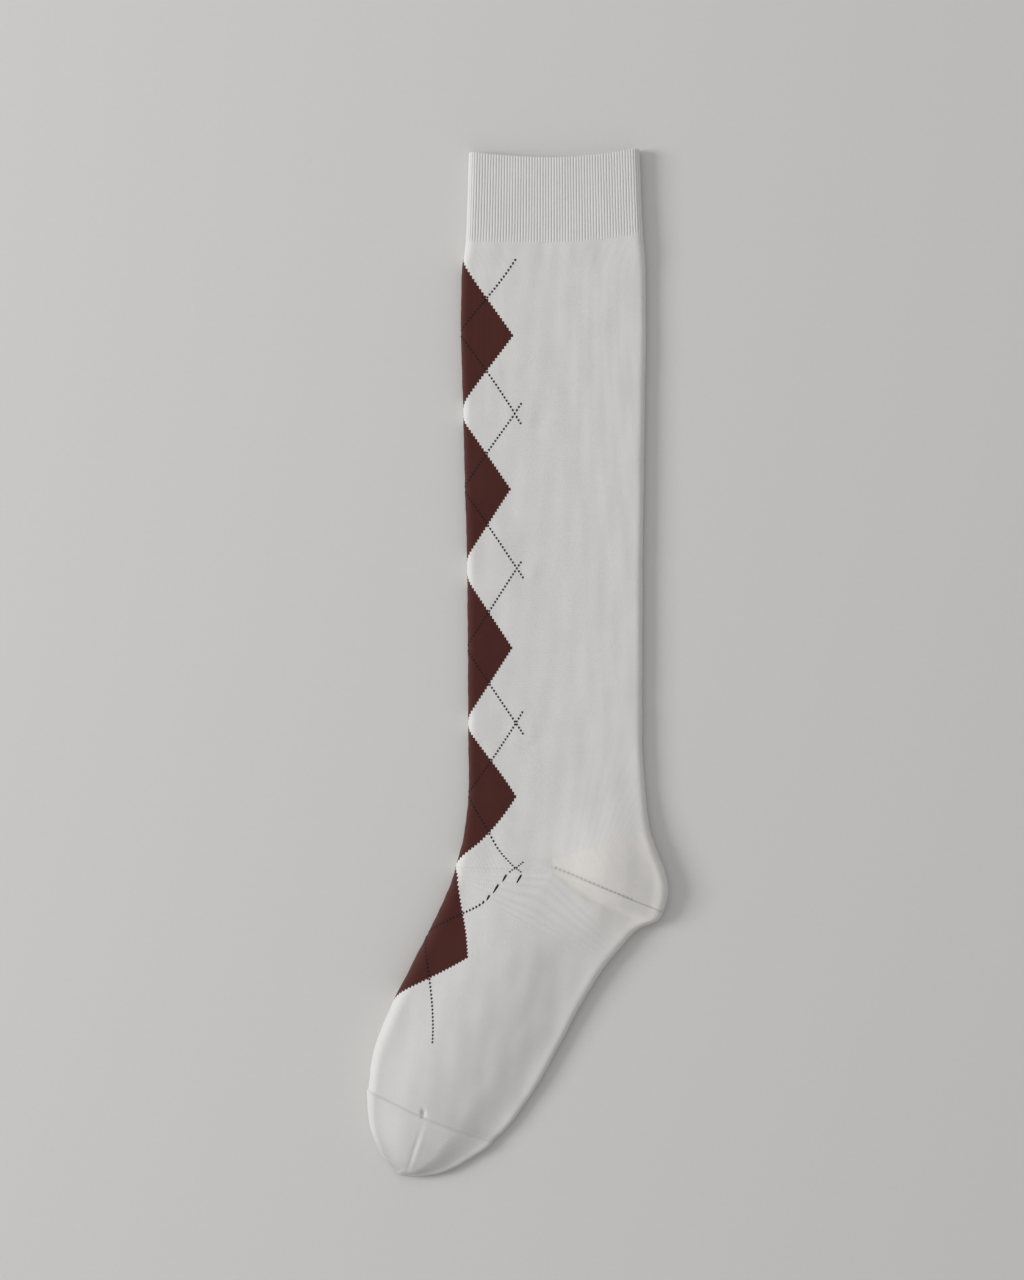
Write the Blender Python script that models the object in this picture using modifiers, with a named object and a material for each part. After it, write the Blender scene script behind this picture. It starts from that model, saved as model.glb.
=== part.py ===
"""Argyle knee sock, lying on its side and pressed flat.

A knitted tube: ribbed cuff, leg, heel pocket, foot, linked toe seam and toe,
with five diamonds inlaid along the fold at the front of the sock.
Metres, +Z up.  The sock rests on z = 0 and its cuff points towards +Y.
"""

import math
from collections import namedtuple

import bmesh
import bpy
import numpy as np
from mathutils import Vector

# Cuff, measured along the leg.  Its edges dip in the middle of the sock.
CUFF_HEIGHT = 0.0444
CUFF_THICKNESS = 0.0084
CUFF_WALL = 0.0016
MOUTH_WIDTH = 0.0906
MOUTH_FRONT_DIP = 0.0031
MOUTH_BACK_DIP = 0.0049
CUFF_FRONT_DIP = 0.0006
CUFF_BACK_DIP = 0.0046
RIB_PITCH = 0.0015
RIB_RELIEF = 0.00030

# Leg, from the bottom of the cuff to the point that the ankle bends around.
LEG_LENGTH = 0.3295
LEG_WIDTH = 0.0954
LEG_THICKNESS = 0.0073

# Heel pocket, from the ankle point to the crown of the heel.
HEEL_REACH = 0.0629
HEEL_THICKNESS = 0.0152
HEEL_APEX = 0.0068
HEEL_WALL = 0.0012

# Foot, from the ankle point to the toe seam, and how far it swings off the leg.
FOOT_LENGTH = 0.1489
FOOT_WIDTH = 0.0890
FOOT_THICKNESS = 0.0158
FOOT_ANGLE = math.radians(28.7)

# Toe, from the seam to its end.
TOE_LENGTH = 0.0333
TOE_THICKNESS = 0.0146
SEAM_WIDTH = 0.0018
SEAM_LIFT = 0.0005

# Knitted wall of leg, foot and toe, and the gap between neighbouring pieces.
KNIT_WALL = 0.0010
GAP = 0.0003

# Inlaid diamonds, measured on the fabric along and across the front fold.  Their centres
# have rolled a little way over the fold, onto the upper side.
ARGYLE_START = 0.0093
ARGYLE_PITCH = 0.0827
ARGYLE_LENGTH = 0.0785
ARGYLE_REACH = 0.0270
ARGYLE_ROLL = 0.0011
INLAY_GAP = 0.0004
INLAY_CLEARANCE = 0.0010

# Depth of a folded edge as a share of its height.
FOLD_ROUNDNESS = 0.5

# Segments round one section: from the front fold over the top and back below.
FRONT_FOLD_STEPS = 3
TOP_FRONT_STEPS = 5
TOP_BACK_STEPS = 6
BACK_FOLD_STEPS = 6
UNDER_BACK_STEPS = 3
UNDER_FRONT_STEPS = 3

# Ribs cross the flattened tube from its front fold, past a middle point, to its back fold.
# Heights: on the front fold, over the middle, over the rear, and on the back fold.
Rib = namedtuple("Rib", "front middle back front_height middle_height rear_height back_height rear_place steps")

# Leg ribs.  up: share of LEG_LENGTH above the ankle point.  front, back: shares of LEG_WIDTH
# from the axis of the leg.  dip: how far the middle of a course hangs, as a share of LEG_WIDTH.
# Heights: shares of LEG_THICKNESS.  steps: rows of facets down to the next rib.
LegRow = namedtuple("LegRow", "up front back dip front_height middle_height rear_height back_height steps")
LEG_ROWS = (
    LegRow(0.944, -0.500, 0.522, 0.030, 1.03, 1.02, 1.02, 1.03, 2),
    LegRow(0.864, -0.506, 0.523, 0.020, 1.00, 0.99, 0.99, 1.00, 2),
    LegRow(0.744, -0.494, 0.518, 0.010, 1.00, 0.98, 0.98, 1.00, 2),
    LegRow(0.625, -0.484, 0.512, 0.000, 1.00, 0.98, 0.99, 1.00, 2),
    LegRow(0.505, -0.472, 0.506, 0.000, 1.00, 0.98, 0.98, 1.00, 2),
    LegRow(0.345, -0.467, 0.505, 0.000, 1.00, 0.98, 0.99, 1.00, 2),
    LegRow(0.217, -0.465, 0.502, 0.000, 1.00, 1.00, 1.00, 1.00, 2),
    LegRow(0.121, -0.461, 0.518, 0.012, 1.01, 1.04, 1.07, 1.02, 3),
)
LEG_REAR_PLACE = 0.5

# Heel ribs fan out round the ankle point.  turn: degrees below straight back.
# reach: share of HEEL_REACH.  Heights: shares of HEEL_THICKNESS.
HeelRow = namedtuple("HeelRow", "turn reach front_height middle_height rear_height back_height")
HEEL_ROWS = (
    HeelRow(-20.2, 0.880, 0.60, 0.65, 0.82, 0.62),
    HeelRow(2.1, 0.947, 0.61, 0.66, 0.97, 0.68),
    HeelRow(12.2, 1.002, 0.62, 0.67, 1.00, 0.68),
    HeelRow(26.5, 1.012, 0.63, 0.68, 0.84, 0.55),
    HeelRow(36.8, 0.903, 0.64, 0.69, 0.74, 0.50),
    HeelRow(46.5, 0.896, 0.65, 0.71, 0.77, 0.52),
)
HEEL_REAR_PLACE = 0.56
HEEL_STEPS = 2

# Where the front fold bends at the ankle: across and up, as shares of LEG_WIDTH.
FRONT_BEND_TOP = (-0.497, 0.128)
FRONT_BEND_BOTTOM = (-0.541, -0.039)

# Foot ribs.  along: share of FOOT_LENGTH.  front, back: shares of FOOT_WIDTH from the line
# that runs from the ankle point to the seam.  Heights: shares of FOOT_THICKNESS.
# rear_place: share of the way from that line to the back fold.
FootRow = namedtuple("FootRow", "along front back front_height middle_height rear_height back_height rear_place steps")
FOOT_ROWS = (
    FootRow(0.221, -0.476, 0.568, 0.68, 0.86, 0.70, 0.50, 0.62, 3),
    FootRow(0.356, -0.457, 0.552, 0.74, 0.95, 0.65, 0.46, 0.63, 3),
    FootRow(0.534, -0.448, 0.555, 0.78, 0.98, 0.67, 0.40, 0.62, 3),
    FootRow(0.712, -0.438, 0.554, 0.78, 1.00, 0.72, 0.36, 0.55, 3),
    FootRow(0.854, -0.410, 0.532, 0.76, 1.00, 0.76, 0.33, 0.50, 2),
    FootRow(0.932, -0.373, 0.502, 0.74, 0.97, 0.76, 0.32, 0.50, 2),
)

# The toe seam crosses the line at FOOT_LENGTH and slants: its ends lie this far along the foot
# from its middle.  All as shares of FOOT_WIDTH; heights are shares of TOE_THICKNESS.
SEAM_FRONT_SLANT = 0.024
SEAM_BACK_SLANT = -0.054
SEAM_FRONT = -0.320
SEAM_MIDDLE = 0.027
SEAM_BACK = 0.484
SEAM_HEIGHTS = (0.78, 1.01, 0.83, 0.34)

# Toe ribs.  along: share of TOE_LENGTH.  front, middle, back: shares of FOOT_WIDTH.
# Heights: shares of TOE_THICKNESS.
ToeRow = namedtuple("ToeRow", "along front middle back front_height middle_height rear_height back_height")
TOE_ROWS = (
    ToeRow(0.310, -0.272, 0.056, 0.403, 0.72, 0.95, 0.78, 0.33),
    ToeRow(0.553, -0.205, 0.080, 0.346, 0.66, 0.86, 0.71, 0.33),
    ToeRow(0.764, -0.119, 0.096, 0.264, 0.57, 0.71, 0.60, 0.32),
    ToeRow(0.894, -0.040, 0.100, 0.195, 0.46, 0.52, 0.46, 0.32),
    ToeRow(0.984, 0.034, 0.082, 0.121, 0.33, 0.34, 0.34, 0.31),
)
TOE_REAR_PLACE = 0.5
TOE_STEPS = 2

# Diamonds along the front fold.  start: shares of ARGYLE_PITCH from the first one.
# length: share of ARGYLE_LENGTH.  reach: share of ARGYLE_REACH.
DiamondRow = namedtuple("DiamondRow", "start length reach")
DIAMOND_ROWS = (
    DiamondRow(0.000, 1.000, 1.07),
    DiamondRow(1.016, 0.966, 0.94),
    DiamondRow(2.028, 0.972, 0.92),
    DiamondRow(2.989, 0.930, 0.98),
    DiamondRow(3.900, 0.985, 1.00),
)
# Lines along a diamond, from one side tip to the other, as shares of its reach.
DIAMOND_LINES = (
    -1.0, -0.8, -0.6, -0.45, -0.35, -0.27, -0.20, -0.13, -0.06, 0.0,
    0.06, 0.13, 0.20, 0.27, 0.35, 0.5, 0.75, 1.0,
)
DIAMOND_ROW_STEPS = 4

WHITE = (0.80, 0.785, 0.765, 1.0)
CREAM = (0.84, 0.815, 0.775, 1.0)
MAROON = (0.075, 0.016, 0.012, 1.0)

# Places of the named ribs in the full list.
MOUTH = 0
CUFF_END = 1
HEEL_TOP = CUFF_END + len(LEG_ROWS) + 1
HEEL_END = HEEL_TOP + len(HEEL_ROWS) - 1
ANKLE = HEEL_END - 1
SEAM_START = HEEL_END + len(FOOT_ROWS) + 1
SEAM_END = SEAM_START + 1


def clear_scene():
    for item in list(bpy.data.objects):
        bpy.data.objects.remove(item, do_unlink=True)


def knit_material(name, colour, roughness):
    material = bpy.data.materials.new(name)
    material.use_nodes = True
    shader = material.node_tree.nodes["Principled BSDF"]
    shader.inputs["Base Color"].default_value = colour
    shader.inputs["Roughness"].default_value = roughness
    shader.inputs["Metallic"].default_value = 0.0
    material.diffuse_color = colour
    return material


# The ribs of the whole sock, in the plane that it lies on.

def cuff_ribs():
    """The mouth of the sock and the bottom edge of the cuff."""
    heights = (CUFF_THICKNESS,) * 4
    edges = (
        (LEG_LENGTH + CUFF_HEIGHT, MOUTH_WIDTH, MOUTH_FRONT_DIP, MOUTH_BACK_DIP),
        (LEG_LENGTH, 0.984 * LEG_WIDTH, CUFF_FRONT_DIP, CUFF_BACK_DIP),
    )
    ribs = []
    for up, width, front_dip, back_dip in edges:
        ribs.append(Rib(
            Vector((-0.486 * width, up + front_dip)),
            Vector((0.0, up)),
            Vector((0.514 * width, up + back_dip)),
            *heights, LEG_REAR_PLACE, 2,
        ))
    return ribs


def heights_of(row, thickness):
    shares = (row.front_height, row.middle_height, row.rear_height, row.back_height)
    return [share * thickness for share in shares]


def leg_ribs():
    ribs = []
    for row in LEG_ROWS:
        up = row.up * LEG_LENGTH
        dip = row.dip * LEG_WIDTH
        ribs.append(Rib(
            Vector((row.front * LEG_WIDTH, up + dip)),
            Vector((0.0, up)),
            Vector((row.back * LEG_WIDTH, up + dip)),
            *heights_of(row, LEG_THICKNESS), LEG_REAR_PLACE, row.steps,
        ))
    return ribs


def heel_ribs():
    bend_top = Vector(FRONT_BEND_TOP) * LEG_WIDTH
    bend_bottom = Vector(FRONT_BEND_BOTTOM) * LEG_WIDTH
    last = len(HEEL_ROWS) - 1
    ribs = []
    for index, row in enumerate(HEEL_ROWS):
        share = index / last
        turn = math.radians(row.turn)
        ribs.append(Rib(
            bend_top.lerp(bend_bottom, share),
            Vector((0.0, HEEL_APEX * (0.5 - share))),
            Vector((math.cos(turn), -math.sin(turn))) * (row.reach * HEEL_REACH),
            *heights_of(row, HEEL_THICKNESS), HEEL_REAR_PLACE, HEEL_STEPS,
        ))
    return ribs


def on_foot(along, across):
    """Point at a distance along the foot from the ankle, and across it towards the sole."""
    forward = Vector((-math.sin(FOOT_ANGLE), -math.cos(FOOT_ANGLE)))
    sideways = Vector((math.cos(FOOT_ANGLE), -math.sin(FOOT_ANGLE)))
    return forward * along + sideways * across


def foot_ribs():
    ribs = []
    for row in FOOT_ROWS:
        along = row.along * FOOT_LENGTH
        ribs.append(Rib(
            on_foot(along, row.front * FOOT_WIDTH),
            on_foot(along, 0.0),
            on_foot(along, row.back * FOOT_WIDTH),
            *heights_of(row, FOOT_THICKNESS), row.rear_place, row.steps,
        ))
    return ribs


def seam_ribs():
    """The two edges of the toe seam."""
    heights = [share * TOE_THICKNESS for share in SEAM_HEIGHTS]
    ribs = []
    for side, steps in ((-0.5, 1), (0.5, TOE_STEPS)):
        along = FOOT_LENGTH + side * SEAM_WIDTH
        ribs.append(Rib(
            on_foot(along + SEAM_FRONT_SLANT * FOOT_WIDTH, SEAM_FRONT * FOOT_WIDTH),
            on_foot(along, SEAM_MIDDLE * FOOT_WIDTH),
            on_foot(along + SEAM_BACK_SLANT * FOOT_WIDTH, SEAM_BACK * FOOT_WIDTH),
            *heights, TOE_REAR_PLACE, steps,
        ))
    return ribs


def toe_ribs():
    ribs = []
    for row in TOE_ROWS:
        along = FOOT_LENGTH + row.along * TOE_LENGTH
        ribs.append(Rib(
            on_foot(along, row.front * FOOT_WIDTH),
            on_foot(along, row.middle * FOOT_WIDTH),
            on_foot(along, row.back * FOOT_WIDTH),
            *heights_of(row, TOE_THICKNESS), TOE_REAR_PLACE, TOE_STEPS,
        ))
    return ribs


RIBS = cuff_ribs() + leg_ribs() + heel_ribs() + foot_ribs() + seam_ribs() + toe_ribs()


def gentle_curve(knots, values, place, flat_ends=False):
    """Smooth curve through values at rising knots, which never swings past a value."""
    index = 0
    while index < len(knots) - 2 and place > knots[index + 1]:
        index += 1

    def slope(k):
        return (values[k + 1] - values[k]) / (knots[k + 1] - knots[k])

    def tangent(k):
        if k == 0 or k == len(values) - 1:
            return 0.0 if flat_ends else slope(min(k, len(values) - 2))
        before = slope(k - 1)
        after = slope(k)
        if before * after <= 0.0:
            return 0.0
        return 2.0 * before * after / (before + after)

    gap = knots[index + 1] - knots[index]
    share = (place - knots[index]) / gap
    square = share * share
    cube = square * share
    result = (2.0 * cube - 3.0 * square + 1.0) * values[index]
    result += (cube - 2.0 * square + share) * gap * tangent(index)
    result += (3.0 * square - 2.0 * cube) * values[index + 1]
    result += (cube - square) * gap * tangent(index + 1)
    return result


def rib_numbers(rib):
    flat = [rib.front.x, rib.front.y, rib.middle.x, rib.middle.y, rib.back.x, rib.back.y]
    return flat + list(rib[3:8])


RIB_KNOTS = list(range(len(RIBS)))
RIB_CURVES = list(zip(*[rib_numbers(rib) for rib in RIBS]))


def rib_at(place):
    """Rib at any place along the sock, counted in ribs from the mouth."""
    numbers = [gentle_curve(RIB_KNOTS, curve, place) for curve in RIB_CURVES]
    return Rib(Vector(numbers[0:2]), Vector(numbers[2:4]), Vector(numbers[4:6]), *numbers[6:11], 1)


# One section of the flattened tube.

def section(rib, fine=1):
    """Closed outline of a section, from the front fold over the top and back underneath."""
    front_length = (rib.middle - rib.front).length
    back_length = (rib.back - rib.middle).length
    front_depth = FOLD_ROUNDNESS * rib.front_height
    back_depth = FOLD_ROUNDNESS * rib.back_height
    back_start = front_length + back_length - back_depth
    rear = front_length + rib.rear_place * (back_start - front_length)
    knots = (front_depth, front_length, rear, back_start)
    heights = rib[3:7]

    def top_height(distance):
        return gentle_curve(knots, heights, distance, flat_ends=True)

    def shares(steps):
        count = steps * fine
        return [k / count for k in range(count)]

    profile = []
    for share in shares(FRONT_FOLD_STEPS):
        angle = 0.5 * math.pi * share
        height = 0.5 * rib.front_height * (1.0 + math.sin(angle))
        profile.append((front_depth * (1.0 - math.cos(angle)), height))
    for share in shares(TOP_FRONT_STEPS):
        distance = front_depth + (front_length - front_depth) * share
        profile.append((distance, top_height(distance)))
    for share in shares(TOP_BACK_STEPS):
        distance = front_length + (back_start - front_length) * share
        profile.append((distance, top_height(distance)))
    for share in shares(BACK_FOLD_STEPS):
        angle = math.pi * (0.5 - share)
        height = 0.5 * rib.back_height * (1.0 + math.sin(angle))
        profile.append((back_start + back_depth * math.cos(angle), height))
    for share in shares(UNDER_BACK_STEPS):
        profile.append((back_start + (front_length - back_start) * share, 0.0))
    for share in shares(UNDER_FRONT_STEPS):
        profile.append((front_length + (front_depth - front_length) * share, 0.0))
    for share in shares(FRONT_FOLD_STEPS):
        angle = 0.5 * math.pi * (share - 1.0)
        height = 0.5 * rib.front_height * (1.0 + math.sin(angle))
        profile.append((front_depth * (1.0 - math.cos(angle)), height))

    points = []
    for distance, height in profile:
        if distance < front_length:
            flat = rib.front.lerp(rib.middle, distance / front_length)
        else:
            flat = rib.middle.lerp(rib.back, (distance - front_length) / back_length)
        points.append(Vector((flat.x, flat.y, height)))
    return points


class Loop:
    """A section measured by length on the fabric, from the front fold."""

    def __init__(self, place):
        points = section(rib_at(place), fine=6)
        points.append(points[0])
        self.points = np.array(points)
        steps = np.linalg.norm(np.diff(self.points, axis=0), axis=1)
        self.lengths = np.concatenate(([0.0], np.cumsum(steps)))
        self.total = self.lengths[-1]

    def point(self, distance):
        wrapped = distance % self.total
        return Vector([np.interp(wrapped, self.lengths, self.points[:, axis]) for axis in range(3)])


# The sock is centred over the origin, standing on z = 0.

def outline_centre():
    corners = []
    for step in range(8 * (len(RIBS) - 1) + 1):
        rib = rib_at(step / 8.0)
        corners.append(rib.front)
        corners.append(rib.back)
    across = [corner.x for corner in corners]
    along = [corner.y for corner in corners]
    return Vector((0.5 * (min(across) + max(across)), 0.5 * (min(along) + max(along)), 0.0))


CENTRE = outline_centre()


def place_piece(mesh_data, name, material, collection, smooth_angle=40.0):
    mesh = bpy.data.meshes.new(name)
    bmesh.ops.translate(mesh_data, verts=mesh_data.verts, vec=-CENTRE)
    mesh_data.to_mesh(mesh)
    mesh_data.free()
    mesh.materials.append(material)
    mesh.shade_smooth()
    mesh.set_sharp_from_angle(angle=math.radians(smooth_angle))
    item = bpy.data.objects.new(name, mesh)
    collection.objects.link(item)
    return item


def thicken(mesh_data, outwards, wall, above=0.0):
    """Give an open surface a wall.  The directions come from the whole sock, so that the
    edges of neighbouring pieces stay parallel through the fabric."""
    inner = {}
    for point in list(mesh_data.verts):
        direction = outwards[point]
        inner[point] = mesh_data.verts.new(point.co - direction * (wall - above))
        point.co += direction * above
    rims = []
    for edge in mesh_data.edges:
        if edge.is_boundary:
            loop = edge.link_loops[0]
            rims.append((loop.vert, loop.link_loop_next.vert))
    for face in list(mesh_data.faces):
        mesh_data.faces.new([inner[point] for point in reversed(face.verts)])
    for first, second in rims:
        mesh_data.faces.new((second, first, inner[first], inner[second]))


# Leg, heel, foot, seam and toe are shares of one grid over the whole tube.

class Grid:
    """Points of the tube below the cuff, and which piece each cell belongs to."""

    def __init__(self):
        self.rows = []
        self.borders = {}
        for index in range(CUFF_END, len(RIBS) - 1):
            self.borders[index] = len(self.rows)
            steps = RIBS[index].steps
            for step in range(steps):
                self.rows.append(section(rib_at(index + step / steps)))
        self.borders[len(RIBS) - 1] = len(self.rows)
        self.rows.append(section(rib_at(len(RIBS) - 1)))
        self.height = len(self.rows) - 1
        self.width = len(self.rows[0])
        self.top_middle = FRONT_FOLD_STEPS + TOP_FRONT_STEPS
        self.under_middle = self.top_middle + TOP_BACK_STEPS + BACK_FOLD_STEPS + UNDER_BACK_STEPS
        self.ankle = self.borders[ANKLE]

    def owner(self, row, column):
        if not 0 <= row < self.height:
            return None
        column %= self.width
        behind = self.top_middle <= column < self.under_middle
        if behind:
            if row < self.borders[HEEL_TOP]:
                return "leg"
            if row < self.borders[HEEL_END]:
                return "heel"
            if row < self.borders[SEAM_START] + 1:
                return "foot"
            return "toe"
        if row < self.ankle:
            return "leg"
        if row < self.borders[SEAM_START]:
            return "foot"
        if row < self.borders[SEAM_END]:
            return "toe_seam"
        return "toe"

    def directions(self, row, column):
        """Unit directions down the sock, round the section and out of the fabric."""
        above = self.rows[max(row - 1, 0)][column]
        below = self.rows[min(row + 1, self.height)][column]
        before = self.rows[row][(column - 1) % self.width]
        after = self.rows[row][(column + 1) % self.width]
        down = (below - above).normalized()
        around = (after - before).normalized()
        return down, around, down.cross(around).normalized()

    def border_point(self, row, column, name):
        """Point of a piece, half a gap back from any neighbouring piece."""
        up_left = self.owner(row - 1, column - 1) == name
        up_right = self.owner(row - 1, column) == name
        low_left = self.owner(row, column - 1) == name
        low_right = self.owner(row, column) == name
        down, around, outwards = self.directions(row, column)
        point = self.rows[row][column].copy()
        above = up_left + up_right
        below = low_left + low_right
        left = up_left + low_left
        right = up_right + low_right
        if above != below:
            point += down * (0.5 * GAP if below > above else -0.5 * GAP)
        if left != right:
            point += around * (0.5 * GAP if right > left else -0.5 * GAP)
        return point, outwards


def grid_piece(grid, name, material, wall, collection, lift=0.0):
    mesh_data = bmesh.new()
    corners = {}
    outwards = {}

    def corner(row, column):
        column %= grid.width
        if (row, column) not in corners:
            point, direction = grid.border_point(row, column, name)
            if lift:
                highest = max(item.z for item in grid.rows[row])
                point += direction * (lift * min(1.0, 3.0 * point.z / highest))
            corners[(row, column)] = mesh_data.verts.new(point)
            outwards[corners[(row, column)]] = direction
        return corners[(row, column)]

    for row in range(grid.height):
        for column in range(grid.width):
            if grid.owner(row, column) == name:
                mesh_data.faces.new((
                    corner(row, column),
                    corner(row + 1, column),
                    corner(row + 1, column + 1),
                    corner(row, column + 1),
                ))
    if name == "toe":
        end = [corner(grid.height, column) for column in range(grid.width)]
        mesh_data.faces.new(list(reversed(end)))
    thicken(mesh_data, outwards, wall)
    return place_piece(mesh_data, name, material, collection)


def build_cuff(material, collection):
    """Ribbed welt: crests and valleys run along the leg, pressed flat underneath."""
    loops = [Loop(MOUTH), Loop(CUFF_END)]
    down = (loops[-1].point(0.0) - loops[0].point(0.0)).normalized()
    ribs = round(loops[-1].total / RIB_PITCH)
    mesh_data = bmesh.new()
    rows = []
    for loop in loops:
        step = loop.total / (2 * ribs)
        ring = []
        for index in range(2 * ribs):
            point = loop.point(index * step)
            if index % 2:
                around = loop.point((index + 1) * step) - loop.point((index - 1) * step)
                outwards = down.cross(around).normalized()
                pressed = min(1.0, 4.0 * point.z / CUFF_THICKNESS)
                point -= outwards * (RIB_RELIEF * pressed)
            ring.append(point)
        rows.append(ring)
    for index in range(2 * ribs):
        rows[-1][index].y += 0.5 * GAP
    top, bottom = [[mesh_data.verts.new(point) for point in ring] for ring in rows]
    for index in range(-1, 2 * ribs - 1):
        mesh_data.faces.new((top[index], bottom[index], bottom[index + 1], top[index + 1]))
    item = place_piece(mesh_data, "cuff", material, collection)
    shell = item.modifiers.new("Welt", "SOLIDIFY")
    shell.thickness = CUFF_WALL
    shell.offset = -1.0
    shell.use_even_offset = True
    return item


# The inlaid diamonds and the openings that they fill.

def fold_places():
    """Places along the sock against the length of the front fold from the cuff's end."""
    count = 12 * (HEEL_END + len(FOOT_ROWS) - CUFF_END)
    last = HEEL_END + len(FOOT_ROWS)
    places = [CUFF_END + (last - CUFF_END) * k / count for k in range(count + 1)]
    lengths = [0.0]
    for before, after in zip(places, places[1:]):
        lengths.append(lengths[-1] + (rib_at(after).front - rib_at(before).front).length)
    return places, lengths


class FoldPoints:
    """Points and outward directions on the fabric, by length along and across the front fold."""

    def __init__(self):
        self.places, self.lengths = fold_places()
        self.loops = {}

    def loop(self, along):
        if along not in self.loops:
            self.loops[along] = Loop(float(np.interp(along, self.lengths, self.places)))
        return self.loops[along]

    def point(self, along, across):
        return self.loop(along).point(across)

    def outwards(self, along, across):
        step = 0.5 * GAP
        down = self.point(along + step, across) - self.point(along - step, across)
        around = self.point(along, across + step) - self.point(along, across - step)
        return down.cross(around).normalized()


def diamond_surface(fold, row, grown):
    """Surface of one diamond, grown on every side by a distance, and its directions."""
    half = 0.5 * row.length * ARGYLE_LENGTH
    reach = row.reach * ARGYLE_REACH
    middle = ARGYLE_START + row.start * ARGYLE_PITCH + half
    scale = 1.0 + grown * math.hypot(half, reach) / (half * reach)
    mesh_data = bmesh.new()
    outwards = {}
    lines = []
    for line in DIAMOND_LINES:
        across = ARGYLE_ROLL + line * reach * scale
        steps = DIAMOND_ROW_STEPS if abs(line) < 1.0 else 0
        vertices = []
        for step in range(steps + 1):
            share = 2.0 * step / steps - 1.0 if steps else 0.0
            along = middle + half * scale * share * (1.0 - abs(line))
            vertices.append(mesh_data.verts.new(fold.point(along, across)))
            outwards[vertices[-1]] = fold.outwards(along, across)
        if not steps:
            vertices *= DIAMOND_ROW_STEPS + 1
        lines.append(vertices)
    for first, second in zip(lines, lines[1:]):
        for step in range(DIAMOND_ROW_STEPS):
            corners = [first[step], first[step + 1], second[step + 1], second[step]]
            mesh_data.faces.new(list(dict.fromkeys(corners)))
    return mesh_data, outwards


def build_diamonds(material, collection, openings):
    fold = FoldPoints()
    for number, row in enumerate(DIAMOND_ROWS, start=1):
        mesh_data, outwards = diamond_surface(fold, row, 0.0)
        thicken(mesh_data, outwards, KNIT_WALL)
        place_piece(mesh_data, "argyle_diamond_%d" % number, material, collection)
        mesh_data, outwards = diamond_surface(fold, row, INLAY_GAP)
        depth = KNIT_WALL + 2.0 * INLAY_CLEARANCE
        thicken(mesh_data, outwards, depth, above=INLAY_CLEARANCE)
        opening = place_piece(mesh_data, "opening_%d" % number, material, openings)
        opening.hide_render = True
        opening.display_type = "WIRE"


def open_for_inlay(item, openings):
    cut = item.modifiers.new("Openings", "BOOLEAN")
    cut.operation = "DIFFERENCE"
    cut.solver = "EXACT"
    cut.operand_type = "COLLECTION"
    cut.collection = openings


def build_sock():
    clear_scene()
    collection = bpy.data.collections.new("argyle_knee_sock")
    openings = bpy.data.collections.new("openings for the diamonds")
    bpy.context.scene.collection.children.link(collection)
    bpy.context.scene.collection.children.link(openings)

    white = knit_material("white cotton knit", WHITE, 0.92)
    rib = knit_material("white ribbed knit", WHITE, 0.92)
    cream = knit_material("cream heel knit", CREAM, 0.90)
    maroon = knit_material("maroon inlay knit", MAROON, 0.92)
    seam = knit_material("white linking yarn", WHITE, 0.88)
    toe = knit_material("white toe knit", WHITE, 0.92)
    foot = knit_material("white foot knit", WHITE, 0.92)

    build_cuff(rib, collection)
    grid = Grid()
    leg_item = grid_piece(grid, "leg", white, KNIT_WALL, collection)
    grid_piece(grid, "heel", cream, HEEL_WALL, collection)
    foot_item = grid_piece(grid, "foot", foot, KNIT_WALL, collection)
    grid_piece(grid, "toe_seam", seam, KNIT_WALL, collection, lift=SEAM_LIFT)
    grid_piece(grid, "toe", toe, KNIT_WALL, collection)

    build_diamonds(maroon, collection, openings)
    open_for_inlay(leg_item, openings)
    open_for_inlay(foot_item, openings)


build_sock()
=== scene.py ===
"""Looks of the argyle knee sock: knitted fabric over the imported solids, black stitch
lines, a pale floor, soft light from the left and a camera straight above.

Metres, +Z up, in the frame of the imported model.  The fabric repeats the sock's own sizes and
ribs, and carries a grid of stitches: wales run down the sock and courses run around it.
"""

import math
from collections import namedtuple

import bpy
import numpy as np
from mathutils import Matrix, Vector


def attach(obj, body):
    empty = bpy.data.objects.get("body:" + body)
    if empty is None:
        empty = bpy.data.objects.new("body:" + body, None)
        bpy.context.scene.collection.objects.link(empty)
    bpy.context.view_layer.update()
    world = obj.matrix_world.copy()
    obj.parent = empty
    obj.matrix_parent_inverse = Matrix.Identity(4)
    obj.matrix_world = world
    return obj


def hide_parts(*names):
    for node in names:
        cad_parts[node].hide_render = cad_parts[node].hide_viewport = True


# Sizes of the sock.
CUFF_HEIGHT = 0.0444
CUFF_THICKNESS = 0.0084
CUFF_WALL = 0.0016
MOUTH_WIDTH = 0.0906
MOUTH_FRONT_DIP = 0.0031
MOUTH_BACK_DIP = 0.0049
CUFF_FRONT_DIP = 0.0006
CUFF_BACK_DIP = 0.0046
RIB_PITCH = 0.0015
LEG_LENGTH = 0.3295
LEG_WIDTH = 0.0954
LEG_THICKNESS = 0.0073
HEEL_REACH = 0.0629
HEEL_THICKNESS = 0.0152
HEEL_APEX = 0.0068
HEEL_WALL = 0.0012
FOOT_LENGTH = 0.1489
FOOT_WIDTH = 0.0890
FOOT_THICKNESS = 0.0158
FOOT_ANGLE = math.radians(28.7)
TOE_LENGTH = 0.0333
TOE_THICKNESS = 0.0146
SEAM_WIDTH = 0.0018
KNIT_WALL = 0.0010
ARGYLE_START = 0.0093
ARGYLE_PITCH = 0.0827
ARGYLE_LENGTH = 0.0785
ARGYLE_REACH = 0.0270
ARGYLE_ROLL = 0.0011
FOLD_ROUNDNESS = 0.5

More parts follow.
